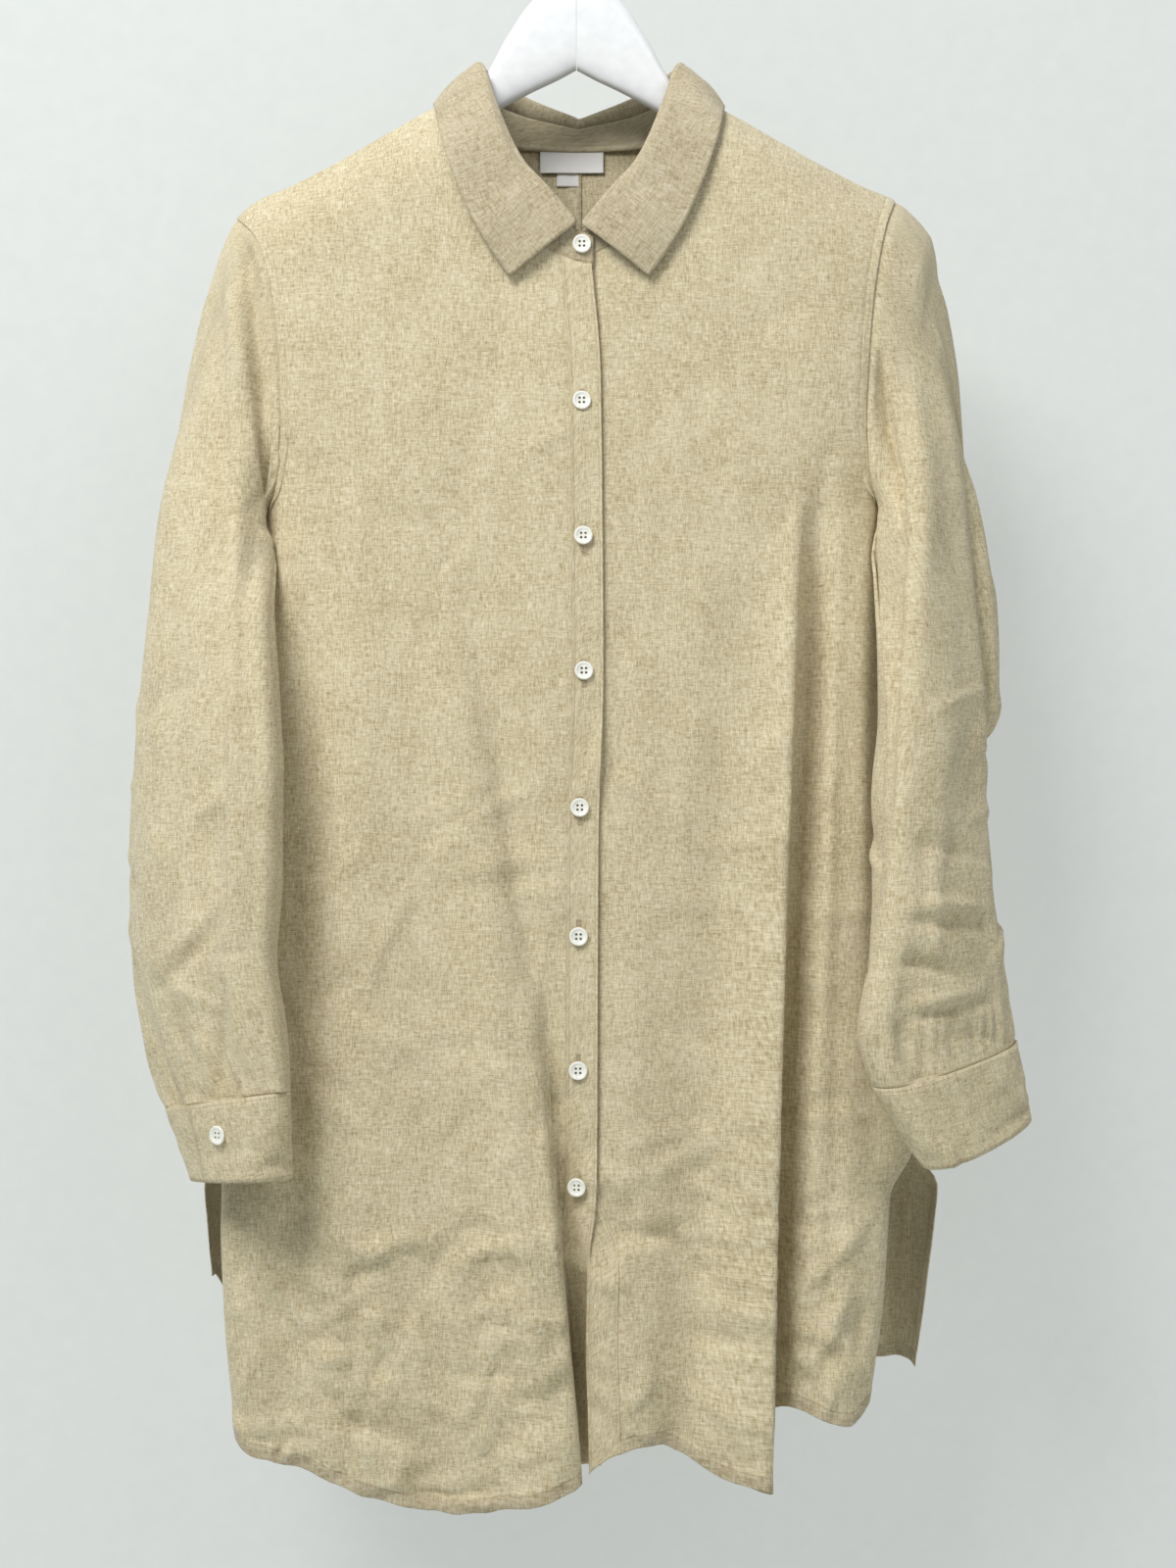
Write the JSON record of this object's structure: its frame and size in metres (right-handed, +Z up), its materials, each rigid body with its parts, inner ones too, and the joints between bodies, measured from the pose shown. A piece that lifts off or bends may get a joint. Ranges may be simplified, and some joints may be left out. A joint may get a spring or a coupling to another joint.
{
  "type": "button-front tunic top on a hanger",
  "caption": "Long-sleeved, button-front tunic top of plain linen with a pointed collar and a curved hem, hanging on a white two-piece hanger with a wire hook.",
  "frame": {"origin": "inside of the hook's crown, where the rail carries the hanger", "axes": "+Z up; -Y is the front of the tunic; +X is the wearer's left"},
  "size_m": [0.5505, 0.1676, 0.997],
  "materials": {
    "linen": "matt natural linen, plain weave with fine slubs",
    "button_shell": "pale four-hole buttons with a soft shine",
    "label_tape": "smooth woven tape, left blank",
    "white_lacquer": "white satin lacquer on wood",
    "hook_steel": "smooth drawn wire"
  },
  "bodies": {
    "root": {"front_right": "linen", "front_left": "linen", "placket_right": "linen", "placket_left": "linen", "back_right": "linen", "back_left": "linen", "sleeve_right": "linen", "sleeve_left": "linen", "cuff_right": "linen", "cuff_left": "linen", "collar_stand": "linen", "collar_fall": "linen", "button_1": "button_shell", "button_2": "button_shell", "button_3": "button_shell", "button_4": "button_shell", "button_5": "button_shell", "button_6": "button_shell", "button_7": "button_shell", "button_8": "button_shell", "cuff_button_right": "button_shell", "cuff_button_left": "button_shell", "neck_label": "label_tape", "size_label": "label_tape", "hanger_arm_right": "white_lacquer", "hanger_arm_left": "white_lacquer", "hook": "hook_steel"}
  },
  "joints": []
}
